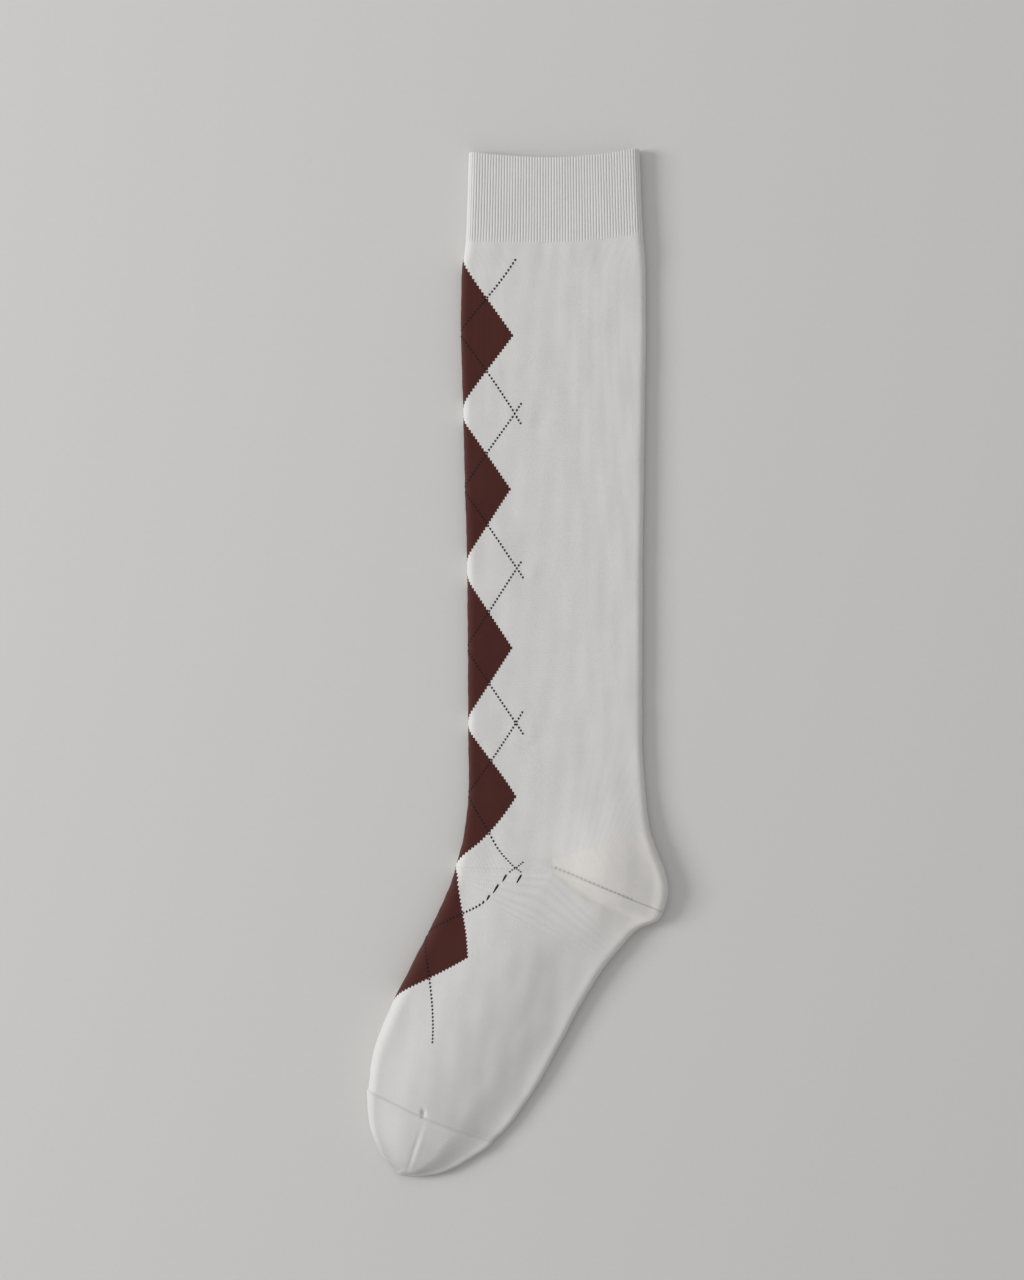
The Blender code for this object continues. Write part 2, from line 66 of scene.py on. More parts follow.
# Ribs of the leg, as shares of LEG_LENGTH, LEG_WIDTH and LEG_THICKNESS.
LegRow = namedtuple("LegRow", "up front back dip heights")
LEG_ROWS = (
    LegRow(0.944, -0.500, 0.522, 0.030, (1.03, 1.02, 1.02, 1.03)),
    LegRow(0.864, -0.506, 0.523, 0.020, (1.00, 0.99, 0.99, 1.00)),
    LegRow(0.744, -0.494, 0.518, 0.010, (1.00, 0.98, 0.98, 1.00)),
    LegRow(0.625, -0.484, 0.512, 0.000, (1.00, 0.98, 0.99, 1.00)),
    LegRow(0.505, -0.472, 0.506, 0.000, (1.00, 0.98, 0.98, 1.00)),
    LegRow(0.345, -0.467, 0.505, 0.000, (1.00, 0.98, 0.99, 1.00)),
    LegRow(0.217, -0.465, 0.502, 0.000, (1.00, 1.00, 1.00, 1.00)),
    LegRow(0.121, -0.461, 0.518, 0.012, (1.01, 1.04, 1.07, 1.02)),
)
LEG_REAR_PLACE = 0.5

# Ribs of the heel: degrees below straight back, then shares of HEEL_REACH and HEEL_THICKNESS.
HeelRow = namedtuple("HeelRow", "turn reach heights")
HEEL_ROWS = (
    HeelRow(-20.2, 0.880, (0.60, 0.65, 0.82, 0.62)),
    HeelRow(2.1, 0.947, (0.61, 0.66, 0.97, 0.68)),
    HeelRow(12.2, 1.002, (0.62, 0.67, 1.00, 0.68)),
    HeelRow(26.5, 1.012, (0.63, 0.68, 0.84, 0.55)),
    HeelRow(36.8, 0.903, (0.64, 0.69, 0.74, 0.50)),
    HeelRow(46.5, 0.896, (0.65, 0.71, 0.77, 0.52)),
)
HEEL_REAR_PLACE = 0.56
FRONT_BEND_TOP = (-0.497, 0.128)
FRONT_BEND_BOTTOM = (-0.541, -0.039)

# Ribs of the foot, as shares of FOOT_LENGTH, FOOT_WIDTH and FOOT_THICKNESS.
FootRow = namedtuple("FootRow", "along front back heights rear_place")
FOOT_ROWS = (
    FootRow(0.221, -0.476, 0.568, (0.68, 0.86, 0.70, 0.50), 0.62),
    FootRow(0.356, -0.457, 0.552, (0.74, 0.95, 0.65, 0.46), 0.63),
    FootRow(0.534, -0.448, 0.555, (0.78, 0.98, 0.67, 0.40), 0.62),
    FootRow(0.712, -0.438, 0.554, (0.78, 1.00, 0.72, 0.36), 0.55),
    FootRow(0.854, -0.410, 0.532, (0.76, 1.00, 0.76, 0.33), 0.50),
    FootRow(0.932, -0.373, 0.502, (0.74, 0.97, 0.76, 0.32), 0.50),
)

# The toe seam, as shares of FOOT_WIDTH and TOE_THICKNESS.
SEAM_FRONT_SLANT = 0.024
SEAM_BACK_SLANT = -0.054
SEAM_FRONT = -0.320
SEAM_MIDDLE = 0.027
SEAM_BACK = 0.484
SEAM_HEIGHTS = (0.78, 1.01, 0.83, 0.34)

# Ribs of the toe, as shares of TOE_LENGTH, FOOT_WIDTH and TOE_THICKNESS.
ToeRow = namedtuple("ToeRow", "along front middle back heights")
TOE_ROWS = (
    ToeRow(0.310, -0.272, 0.056, 0.403, (0.72, 0.95, 0.78, 0.33)),
    ToeRow(0.553, -0.205, 0.080, 0.346, (0.66, 0.86, 0.71, 0.33)),
    ToeRow(0.764, -0.119, 0.096, 0.264, (0.57, 0.71, 0.60, 0.32)),
    ToeRow(0.894, -0.040, 0.100, 0.195, (0.46, 0.52, 0.46, 0.32)),
    ToeRow(0.984, 0.034, 0.082, 0.121, (0.33, 0.34, 0.34, 0.31)),
)
TOE_REAR_PLACE = 0.5

# The diamonds along the front fold, as shares of ARGYLE_PITCH, ARGYLE_LENGTH and ARGYLE_REACH.
DiamondRow = namedtuple("DiamondRow", "start length reach")
DIAMOND_ROWS = (
    DiamondRow(0.000, 1.000, 1.07),
    DiamondRow(1.016, 0.966, 0.94),
    DiamondRow(2.028, 0.972, 0.92),
    DiamondRow(2.989, 0.930, 0.98),
    DiamondRow(3.900, 0.985, 1.00),
)

# Places of the named ribs.
MOUTH = 0
CUFF_END = 1
HEEL_TOP = CUFF_END + len(LEG_ROWS) + 1
HEEL_END = HEEL_TOP + len(HEEL_ROWS) - 1
ANKLE = HEEL_END - 1
SEAM_START = HEEL_END + len(FOOT_ROWS) + 1
SEAM_END = SEAM_START + 1
LAST_RIB = SEAM_END + len(TOE_ROWS)

# The knitted fabric: wales around the sock, and rows of cells that are two courses high.
WALES = 176
HALF_WALES = WALES // 2
ROW_HEIGHT = 0.00166
DIAMOND_CELLS = 47
MIDDLE_WALE = 43.5
SEAM_CELLS = 4
TOE_CELLS = 4
HEEL_CELLS = 88
OUTLINE_DETAIL = 10

# How much the hanging courses of the leg bow.
BOW = 0.8

# Sizes of one stitch of the heel, and of the gore across it.  GORE_TURN: degrees below straight
# back.  The line and its holes are measured from the ankle point.
STITCH_WIDTH = 0.00117
STITCH_LENGTH = 0.00083
GORE_TURN = 22.5
GORE_LENGTH = 0.058
GORE_DEPTH = 0.00012
HOLE_PITCH = 0.0024
HOLE_START = 0.002
HOLE_END = 0.046
HOLE_DEPTH = 0.00045

# The cuff's fabric: columns to a rib, rows outside, depth of its furrows, length of a course.
RIB_COLUMNS = 6
CUFF_ROWS = 26
FURROW_DEPTH = 0.00042
CUFF_COURSE = 0.00085


# The surface of the sock.

def on_foot(along, across):
    forward = np.array((-math.sin(FOOT_ANGLE), -math.cos(FOOT_ANGLE)))
    sideways = np.array((math.cos(FOOT_ANGLE), -math.sin(FOOT_ANGLE)))
    return forward * along + sideways * across


def rib_numbers(front, middle, back, heights, thickness, rear_place):
    return [*front, *middle, *back, *[share * thickness for share in heights], rear_place]


def all_ribs():
    ribs = []
    cuff_edges = (
        (LEG_LENGTH + CUFF_HEIGHT, MOUTH_WIDTH, MOUTH_FRONT_DIP, MOUTH_BACK_DIP),
        (LEG_LENGTH, 0.984 * LEG_WIDTH, CUFF_FRONT_DIP, CUFF_BACK_DIP),
    )
    for up, width, front_dip, back_dip in cuff_edges:
        ribs.append(rib_numbers(
            (-0.486 * width, up + front_dip), (0.0, up), (0.514 * width, up + back_dip),
            (1.0, 1.0, 1.0, 1.0), CUFF_THICKNESS, LEG_REAR_PLACE,
        ))
    for row in LEG_ROWS:
        up = row.up * LEG_LENGTH
        edge = up + row.dip * LEG_WIDTH
        ribs.append(rib_numbers(
            (row.front * LEG_WIDTH, edge), (0.0, up), (row.back * LEG_WIDTH, edge),
            row.heights, LEG_THICKNESS, LEG_REAR_PLACE,
        ))
    bend_top = np.array(FRONT_BEND_TOP) * LEG_WIDTH
    bend_bottom = np.array(FRONT_BEND_BOTTOM) * LEG_WIDTH
    for index, row in enumerate(HEEL_ROWS):
        share = index / (len(HEEL_ROWS) - 1)
        turn = math.radians(row.turn)
        reach = row.reach * HEEL_REACH
        ribs.append(rib_numbers(
            bend_top + (bend_bottom - bend_top) * share,
            (0.0, HEEL_APEX * (0.5 - share)),
            (math.cos(turn) * reach, -math.sin(turn) * reach),
            row.heights, HEEL_THICKNESS, HEEL_REAR_PLACE,
        ))
    for row in FOOT_ROWS:
        along = row.along * FOOT_LENGTH
        ribs.append(rib_numbers(
            on_foot(along, row.front * FOOT_WIDTH), on_foot(along, 0.0),
            on_foot(along, row.back * FOOT_WIDTH), row.heights, FOOT_THICKNESS, row.rear_place,
        ))
    for side in (-0.5, 0.5):
        along = FOOT_LENGTH + side * SEAM_WIDTH
        ribs.append(rib_numbers(
            on_foot(along + SEAM_FRONT_SLANT * FOOT_WIDTH, SEAM_FRONT * FOOT_WIDTH),
            on_foot(along, SEAM_MIDDLE * FOOT_WIDTH),
            on_foot(along + SEAM_BACK_SLANT * FOOT_WIDTH, SEAM_BACK * FOOT_WIDTH),
            SEAM_HEIGHTS, TOE_THICKNESS, TOE_REAR_PLACE,
        ))
    for row in TOE_ROWS:
        along = FOOT_LENGTH + row.along * TOE_LENGTH
        ribs.append(rib_numbers(
            on_foot(along, row.front * FOOT_WIDTH), on_foot(along, row.middle * FOOT_WIDTH),
            on_foot(along, row.back * FOOT_WIDTH), row.heights, TOE_THICKNESS, TOE_REAR_PLACE,
        ))
    return np.array(ribs)


RIBS = all_ribs()


def gentle_curves(knots, values, places, flat_ends=False):
    """Smooth curves, one to a row, through values at rising knots, never swinging past a value."""
    knots, values = np.broadcast_arrays(np.atleast_2d(knots), np.atleast_2d(values))
    places = np.broadcast_to(np.atleast_2d(places), (len(values), np.shape(places)[-1]))
    slopes = np.diff(values, axis=1) / np.diff(knots, axis=1)
    before = slopes[:, :-1]
    after = slopes[:, 1:]
    agree = before * after > 0.0
    inner = np.where(agree, 2.0 * before * after / np.where(agree, before + after, 1.0), 0.0)
    ends = 0.0 if flat_ends else 1.0
    tangents = np.concatenate((slopes[:, :1] * ends, inner, slopes[:, -1:] * ends), axis=1)
    index = (places[:, :, None] > knots[:, None, 1:-1]).sum(axis=2)

    def pick(table, step):
        return np.take_along_axis(table, index + step, axis=1)

    gap = pick(knots, 1) - pick(knots, 0)
    share = (places - pick(knots, 0)) / gap
    square = share * share
    cube = square * share
    result = (2.0 * cube - 3.0 * square + 1.0) * pick(values, 0)
    result += (cube - 2.0 * square + share) * gap * pick(tangents, 0)
    result += (3.0 * square - 2.0 * cube) * pick(values, 1)
    result += (cube - square) * gap * pick(tangents, 1)
    return result


def ribs_at(places):
    """Rib numbers at any places along the sock, counted in ribs from the mouth: (11, places)."""
    return gentle_curves(np.arange(len(RIBS), dtype=float), RIBS.T, np.asarray(places, float))


def outline_centre():
    numbers = ribs_at(np.arange(8 * (len(RIBS) - 1) + 1) / 8.0)
    across = np.concatenate((numbers[0], numbers[4]))
    along = np.concatenate((numbers[1], numbers[5]))
    return np.array((0.5 * (across.min() + across.max()), 0.5 * (along.min() + along.max()), 0.0))


CENTRE = outline_centre()

Outline = namedtuple("Outline", "points lengths top_middle back under_middle total")


def outlines(places):
    """Sections of the flattened tube, from the front fold over the top and back underneath,
    with the length on the fabric from the front fold to each point."""
    numbers = ribs_at(places)
    front, middle, back = [numbers[k:k + 2].T for k in (0, 2, 4)]
    heights = numbers[6:10].T
    rear_place = numbers[10]
    front_length = np.linalg.norm(middle - front, axis=1)
    back_length = np.linalg.norm(back - middle, axis=1)
    front_depth = FOLD_ROUNDNESS * heights[:, 0]
    back_depth = FOLD_ROUNDNESS * heights[:, 3]
    back_start = front_length + back_length - back_depth
    rear = front_length + rear_place * (back_start - front_length)
    knots = np.stack((front_depth, front_length, rear, back_start), axis=1)

    def between(start, end, steps):
        shares = np.arange(steps * OUTLINE_DETAIL) / (steps * OUTLINE_DETAIL)
        return start[:, None] + (end - start)[:, None] * shares

    zero = np.zeros(len(front))
    quarter = between(zero, zero + 0.5 * math.pi, 3)
    distances = [front_depth[:, None] * (1.0 - np.cos(quarter))]
    rises = [0.5 * heights[:, :1] * (1.0 + np.sin(quarter))]
    for start, end, steps in ((front_depth, front_length, 4), (front_length, back_start, 6)):
        run = between(start, end, steps)
        distances.append(run)
        rises.append(gentle_curves(knots, heights, run, flat_ends=True))
    half = between(zero + 0.5 * math.pi, zero - 0.5 * math.pi, 6)
    distances.append(back_start[:, None] + back_depth[:, None] * np.cos(half))
    rises.append(0.5 * heights[:, 3:] * (1.0 + np.sin(half)))
    for start, end, steps in ((back_start, front_length, 4), (front_length, front_depth, 4)):
        run = between(start, end, steps)
        distances.append(run)
        rises.append(0.0 * run)
    quarter = between(zero - 0.5 * math.pi, zero, 3)
    distances.append(front_depth[:, None] * (1.0 - np.cos(quarter)))
    rises.append(0.5 * heights[:, :1] * (1.0 + np.sin(quarter)))

    counts = np.cumsum([part.shape[1] for part in distances])
    distance = np.concatenate(distances, axis=1)
    rise = np.concatenate(rises, axis=1)
    past = distance >= front_length[:, None]
    near = np.where(past, 1.0, distance / front_length[:, None])[:, :, None]
    far = np.where(past, (distance - front_length[:, None]) / back_length[:, None], 0.0)[:, :, None]
    flat = front[:, None] + (middle - front)[:, None] * near + (back - middle)[:, None] * far
    bow = 1.0 + BOW * np.clip(HEEL_TOP - 1.0 - np.asarray(places, float), 0.0, 1.0)[:, None]
    hang = (front - middle)[:, None, 1] * (1.0 - near[:, :, 0]) ** bow
    hang += (back - middle)[:, None, 1] * far[:, :, 0] ** bow
    flat[:, :, 1] = middle[:, None, 1] + hang
    points = np.concatenate((flat, rise[:, :, None]), axis=2) - CENTRE
    points = np.concatenate((points, points[:, :1]), axis=1)
    steps = np.linalg.norm(np.diff(points, axis=1), axis=2)
    lengths = np.concatenate((np.zeros((len(points), 1)), np.cumsum(steps, axis=1)), axis=1)
    back_index = (counts[2] + counts[3]) // 2
    return Outline(
        points, lengths, lengths[:, counts[1]], lengths[:, back_index],
        lengths[:, counts[4]], lengths[:, -1],
    )


def points_on(outline, distances):
    """Points at distances on the fabric from the front fold, row by row."""
    result = np.empty(distances.shape + (3,))
    wrapped = distances % outline.total[:, None]
    for row in range(len(distances)):
        for axis in range(3):
            result[row, :, axis] = np.interp(
                wrapped[row], outline.lengths[row], outline.points[row, :, axis]
            )
    return result


def directions(points):
    """Unit directions out of the fabric, on a grid that closes around the sock."""
    down = np.gradient(points, axis=0)
    around = np.roll(points, -1, axis=1) - np.roll(points, 1, axis=1)
    outwards = np.cross(down, around)
    return outwards / np.linalg.norm(outwards, axis=2, keepdims=True)


# Where the rows of cells lie along the sock.

def fold_length_table():
    count = 12 * (HEEL_END + len(FOOT_ROWS) + 1 - CUFF_END)
    places = np.linspace(CUFF_END, HEEL_END + len(FOOT_ROWS) + 1, count + 1)
    front = ribs_at(places)[0:2].T
    steps = np.linalg.norm(np.diff(front, axis=0), axis=1)
    return places, np.concatenate(([0.0], np.cumsum(steps)))


def diamond_span(row):
    start = ARGYLE_START + row.start * ARGYLE_PITCH
    return start, start + row.length * ARGYLE_LENGTH


def plan_rows():
    """Places of the rows, the row of each named rib, and the first row of each diamond."""
    fold_places, fold_lengths = fold_length_table()
    rows = [0]
    lengths = [0.0]
    named = {}
    firsts = []
    pending = [
        (float(np.interp(place, fold_places, fold_lengths)), place)
        for place in (HEEL_TOP, ANKLE, HEEL_END, SEAM_START)
    ]

    def stop(length, row):
        rows.append(row)
        lengths.append(length)

    def run_to(length):
        stop(length, rows[-1] + max(1, round((length - lengths[-1]) / ROW_HEIGHT)))

    for diamond in DIAMOND_ROWS:
        start, end = diamond_span(diamond)
        while pending[0][0] < start:
            length, place = pending.pop(0)
            run_to(length)
            named[place] = rows[-1]
        run_to(start)
        first = rows[-1]
        firsts.append(first)
        while pending[0][0] < end:
            length, place = pending.pop(0)
            stop(length, first + round(DIAMOND_CELLS * (length - start) / (end - start)))
            named[place] = rows[-1]
        stop(end, first + DIAMOND_CELLS)
    for length, place in pending:
        run_to(length)
        named[place] = rows[-1]

    along = np.interp(np.arange(rows[-1] + 1), rows, lengths)
    places = np.interp(along, fold_lengths, fold_places)
    seam = np.linspace(SEAM_START, SEAM_END, SEAM_CELLS + 1)[1:]
    toe = np.linspace(SEAM_END, LAST_RIB, TOE_CELLS * len(TOE_ROWS) + 1)[1:]
    named[SEAM_END] = named[SEAM_START] + SEAM_CELLS
    return np.concatenate((places, seam, toe)), named, firsts


ROW_PLACES, NAMED_ROWS, DIAMOND_FIRSTS = plan_rows()


def wale_share(places):
    """Where the side tips of the diamonds lie, as a share of the way to the middle."""
    fold_places, fold_lengths = fold_length_table()
    knots = []
    shares = []
    for row in DIAMOND_ROWS:
        start, end = diamond_span(row)
        place = float(np.interp(0.5 * (start + end), fold_lengths, fold_places))
        middle = outlines([place]).top_middle[0]
        knots.append(place)
        shares.append((row.reach * ARGYLE_REACH) / middle)
    return gentle_curves(np.array(knots), np.array(shares), np.clip(places, knots[0], knots[-1]))[0]


def wale_distances(outline, places, wales):
    """Distance on the fabric from the front fold to each wale, row by row."""
    tip = DIAMOND_CELLS / 2.0
    roll = ARGYLE_ROLL * outline.top_middle / outline.top_middle.max()
    reach = wale_share(places) * outline.top_middle
    wale_knots = np.array((
        -tip, 0.0, tip, MIDDLE_WALE, HALF_WALES, WALES - MIDDLE_WALE, WALES - tip, WALES,
    ))
    values = np.stack((
        roll - reach, roll, roll + reach, outline.top_middle, outline.back,
        outline.under_middle, outline.total + roll - reach, outline.total + roll,
    ), axis=1)
    return gentle_curves(wale_knots, values, wales)


# Dents and ridges of the lying fabric.  x, y: middle.  turn: degrees from +X.  length, width:
# spread along and across.  rise: height of the ridge, or depth of the dent where negative.
Crease = namedtuple("Crease", "x y turn length width rise")
CREASES = (
    # below the heel's gore, across to the crown
    Crease(0.0500, -0.1290, -26.0, 0.0220, 0.0022, -0.0011),
    Crease(0.0440, -0.1210, -24.0, 0.0240, 0.0020, 0.0004),
    # between the heel's gore and the leg
    Crease(0.0300, -0.1165, -23.0, 0.0180, 0.0016, -0.0004),
    # soft crest of the foot
    Crease(0.0010, -0.1780, 68.0, 0.0420, 0.0060, 0.0006),
    # hollow beside the crest, towards the sole
    Crease(0.0260, -0.1560, 64.0, 0.0300, 0.0060, -0.0005),
    # gathers under the cuff
    Crease(0.0140, 0.2200, 88.0, 0.0100, 0.0030, -0.0003),
    Crease(0.0260, 0.2190, 92.0, 0.0090, 0.0030, 0.0003),
    Crease(-0.0080, 0.2180, 86.0, 0.0090, 0.0030, -0.0002),
    Crease(0.0430, 0.2200, 94.0, 0.0100, 0.0030, -0.0002),
    # puckers beside the crossings of the black lines
    Crease(0.0070, 0.1310, 80.0, 0.0060, 0.0030, 0.0002),
    Crease(0.0110, 0.1260, 60.0, 0.0070, 0.0030, -0.0002),
    Crease(0.0070, 0.0480, 80.0, 0.0060, 0.0030, 0.0002),
    Crease(0.0110, 0.0430, 60.0, 0.0070, 0.0030, -0.0002),
    Crease(0.0070, -0.0350, 80.0, 0.0060, 0.0030, 0.0002),
    Crease(0.0110, -0.0400, 60.0, 0.0070, 0.0030, -0.0002),
    # toe gore and its pucker
    Crease(-0.0545, -0.2565, 72.0, 0.0120, 0.0011, -0.0005),
    Crease(-0.0520, -0.2560, 72.0, 0.0110, 0.0015, 0.0003),
    Crease(-0.0497, -0.2366, 100.0, 0.0017, 0.0011, -0.0016),
)


def gauss_at(crease, x, y):
    turn = math.radians(crease.turn)
    along = (x - crease.x) * math.cos(turn) + (y - crease.y) * math.sin(turn)
    across = -(x - crease.x) * math.sin(turn) + (y - crease.y) * math.cos(turn)
    return np.exp(-(along / crease.length) ** 2 - (across / crease.width) ** 2)


def soft_waves(x, y, seed, count, shortest, longest):
    """Gentle uneven waves of about unit height."""
    draw = np.random.default_rng(seed)
    total = np.zeros_like(x)
    for _ in range(count):
        turn = draw.uniform(0.0, math.pi)
        length = draw.uniform(shortest, longest)
        phase = draw.uniform(0.0, 2.0 * math.pi)
        step = (x * math.cos(turn) + y * math.sin(turn)) / length
        total += np.sin(2.0 * math.pi * step + phase)
    return total / math.sqrt(count)


def lying_relief(points, outwards):
    """Height of dents and ridges, on the upper side alone."""
    x = points[:, :, 0]
    y = points[:, :, 1]
    relief = 0.00010 * soft_waves(x, y, 11, 9, 0.012, 0.040)
    relief += 0.00012 * soft_waves(x, 0.25 * y, 12, 7, 0.010, 0.030)
    for crease in CREASES:
        relief += crease.rise * gauss_at(crease, x, y)
    upper = np.clip(2.0 * outwards[:, :, 2], 0.0, 1.0)
    side = (1.0 - np.abs(outwards[:, :, 2])) * np.clip(points[:, :, 2] / 0.002, 0.0, 1.0)
    edge = 0.00012 * soft_waves(x, y, 13, 7, 0.006, 0.030)
    return relief * upper + edge * side


# Meshes.

def make_mesh(name, points, quads, uvs, shade):
    """Mesh object of quads, with the knit's own map and a painted shade for each point."""
    used, remapped = np.unique(quads, return_inverse=True)
    quads = remapped.reshape(quads.shape)
    corners = quads.ravel()
    corner_uvs = uvs.reshape(-1, 2)
    starts = np.arange(len(quads)) * 4
    mesh = bpy.data.meshes.new(name)
    mesh.vertices.add(len(used))
    mesh.vertices.foreach_set("co", points.reshape(-1, 3)[used].astype(np.float32).ravel())
    mesh.loops.add(len(corners))
    mesh.loops.foreach_set("vertex_index", corners.astype(np.int32))
    mesh.polygons.add(len(starts))
    mesh.polygons.foreach_set("loop_start", starts.astype(np.int32))
    mesh.update(calc_edges=True)
    layer = mesh.uv_layers.new(name="knit")
    layer.data.foreach_set("uv", corner_uvs.astype(np.float32).ravel())
    attribute = mesh.attributes.new("shade", "FLOAT", "POINT")
    attribute.data.foreach_set("value", shade.ravel()[used].astype(np.float32))
    mesh.validate()
    mesh.shade_smooth()
    mesh.set_sharp_from_angle(angle=math.radians(45.0))
    item = bpy.data.objects.new(name, mesh)
    bpy.context.scene.collection.objects.link(item)
    return item


class Fabric:
    """A grid of fabric: outer and inner points, stitch coordinates and painted shade."""

    def __init__(self, points, outwards, wall, wales, courses):
        self.outer = points
        self.outwards = outwards
        self.inner = points - outwards * wall
        self.inner[:, :, 2] = np.maximum(self.inner[:, :, 2], 0.2 * wall)
        self.rows, self.columns = points.shape[:2]
        self.wales = wales
        self.courses = courses
        self.shade = np.ones(points.shape[:2])

    def stitch_map(self, row, column):
        """Wale and course at a corner of a cell."""
        wale = self.wales[column % self.columns] + WALES * (column // self.columns)
        return np.stack((wale, self.courses[row]), axis=-1)

    def piece(self, name, owned, mapping=None):
        """Closed piece of the cells marked in owned, with rims along its borders."""
        mapping = mapping or self.stitch_map
        size = self.rows * self.columns
        row, column = np.nonzero(owned)
        right = (column + 1) % self.columns
        corners = ((row, column), (row + 1, column), (row + 1, right), (row, right))
        outer = np.stack([r * self.columns + c for r, c in corners], axis=1)
        uv = np.stack([
            mapping(r, c) for r, c in
            ((row, column), (row + 1, column), (row + 1, column + 1), (row, column + 1))
        ], axis=1)
        quads = [outer, outer[:, ::-1] + size]
        uvs = [uv, uv[:, ::-1]]
        padded = np.zeros((owned.shape[0] + 2, owned.shape[1]), bool)
        padded[1:-1] = owned
        neighbours = (
            np.roll(owned, 1, axis=1), padded[2:], np.roll(owned, -1, axis=1), padded[:-2],
        )
        for side, neighbour in enumerate(neighbours):
            open_edge = ~neighbour[row, column]
            first = outer[open_edge, side]
            second = outer[open_edge, (side + 1) % 4]
            quads.append(np.stack((second, first, first + size, second + size), axis=1))
            ends = uv[open_edge][:, [(side + 1) % 4, side, side, (side + 1) % 4]]
            uvs.append(ends)
        points = np.concatenate((self.outer.reshape(-1, 3), self.inner.reshape(-1, 3)))
        shade = np.concatenate((self.shade.ravel(), self.shade.ravel()))
        return make_mesh(name, points, np.concatenate(quads), np.concatenate(uvs), shade)


# Materials.

def node(tree, kind, **inputs):
    made = tree.nodes.new(kind)
    for name, value in inputs.items():
        made.inputs[name.replace("_", " ")].default_value = value
    return made


def math_node(tree, operation, first, second=None, clamp=False):
    made = tree.nodes.new("ShaderNodeMath")
    made.operation = operation
    made.use_clamp = clamp
    for slot_index, value in enumerate((first, second)):
        if value is None:
            continue
        if isinstance(value, (int, float)):
            made.inputs[slot_index].default_value = value
        else:
            tree.links.new(value, made.inputs[slot_index])
    return made.outputs[0]


def stitch_height(tree):
    """Height of V-shaped stitches from the knit's map: wales along U, courses along V."""
    source = tree.nodes.new("ShaderNodeUVMap")
    source.uv_map = "knit"
    split = tree.nodes.new("ShaderNodeSeparateXYZ")
    tree.links.new(source.outputs[0], split.inputs[0])
    across = math_node(tree, "FRACT", math_node(tree, "ADD", split.outputs[0], 0.5))
    side = math_node(tree, "ABSOLUTE", math_node(tree, "SUBTRACT", across, 0.5))
    side = math_node(tree, "MULTIPLY", side, 2.0)
    slanted = math_node(tree, "SUBTRACT", split.outputs[1], math_node(tree, "MULTIPLY", side, 0.9))
    along = math_node(tree, "FRACT", slanted)
    bow = math_node(tree, "SUBTRACT", math_node(tree, "MULTIPLY", along, 2.0), 1.0)
    bow = math_node(tree, "SUBTRACT", 1.0, math_node(tree, "MULTIPLY", bow, bow))
    leg = math_node(tree, "MULTIPLY", side, math_node(tree, "SUBTRACT", 1.0, side))
    leg = math_node(tree, "SQRT", math_node(tree, "MULTIPLY", leg, 4.0, clamp=True))
    return math_node(
        tree, "ADD",
        math_node(tree, "MULTIPLY", bow, 0.35),
        math_node(tree, "MULTIPLY", leg, 0.65),
    )


def knit_material(name, colour, gap_shade_colour, relief, roughness=0.9, sheen=0.25, mottle=0.04):
    """Cotton knit: V stitches, painted shade between the yarns and from the shade attribute,
    slightly uneven in colour.
    """
    material = bpy.data.materials.new(name)
    material.use_nodes = True
    tree = material.node_tree
    shader = tree.nodes["Principled BSDF"]
    shader.inputs["Roughness"].default_value = roughness
    shader.inputs["Specular IOR Level"].default_value = 0.25
    shader.inputs["Sheen Weight"].default_value = sheen
    shader.inputs["Sheen Roughness"].default_value = 0.5
    shader.inputs["Sheen Tint"].default_value = (1.0, 1.0, 1.0, 1.0)

    height = stitch_height(tree)
    place = tree.nodes.new("ShaderNodeTexCoord")
    cloud = node(tree, "ShaderNodeTexNoise", Scale=60.0, Detail=3.0, Roughness=0.6)
    fibre = node(tree, "ShaderNodeTexNoise", Scale=2600.0, Detail=2.0, Roughness=0.6)
    for texture in (cloud, fibre):
        tree.links.new(place.outputs["Object"], texture.inputs["Vector"])

    # Painted shade: the colour darkens to the second colour between the yarns, by stitch height.
    depth = tree.nodes.new("ShaderNodeMix")
    depth.data_type = "RGBA"
    depth.inputs["A"].default_value = (*gap_shade_colour, 1.0)
    depth.inputs["B"].default_value = (*colour, 1.0)
    tree.links.new(height, depth.inputs["Factor"])

    # Painted shade from the shade attribute: darker in the heel's gore holes and along its line,
    # and in the cuff's furrows.
    painted_shade = tree.nodes.new("ShaderNodeAttribute")
    painted_shade.attribute_name = "shade"
    uneven = math_node(tree, "SUBTRACT", cloud.outputs["Fac"], 0.5)
    uneven = math_node(tree, "MULTIPLY", uneven, mottle * 2.0)
    fleck = math_node(tree, "SUBTRACT", fibre.outputs["Fac"], 0.5)
    fleck = math_node(tree, "MULTIPLY", fleck, mottle * 3.0)
    mottle_and_painted_shade = math_node(tree, "ADD", math_node(tree, "ADD", uneven, fleck), painted_shade.outputs["Fac"])
    tinted = tree.nodes.new("ShaderNodeVectorMath")
    tinted.operation = "SCALE"
    tree.links.new(depth.outputs["Result"], tinted.inputs[0])
    tree.links.new(mottle_and_painted_shade, tinted.inputs["Scale"])
    tree.links.new(tinted.outputs[0], shader.inputs["Base Color"])

    stitches = tree.nodes.new("ShaderNodeBump")
    stitches.inputs["Strength"].default_value = 1.0
    stitches.inputs["Distance"].default_value = relief
    tree.links.new(height, stitches.inputs["Height"])
    fuzz = tree.nodes.new("ShaderNodeBump")
    fuzz.inputs["Strength"].default_value = 0.35
    fuzz.inputs["Distance"].default_value = 0.0001
    tree.links.new(fibre.outputs["Fac"], fuzz.inputs["Height"])
    tree.links.new(stitches.outputs[0], fuzz.inputs["Normal"])
    tree.links.new(fuzz.outputs[0], shader.inputs["Normal"])
    return material


# The pieces.

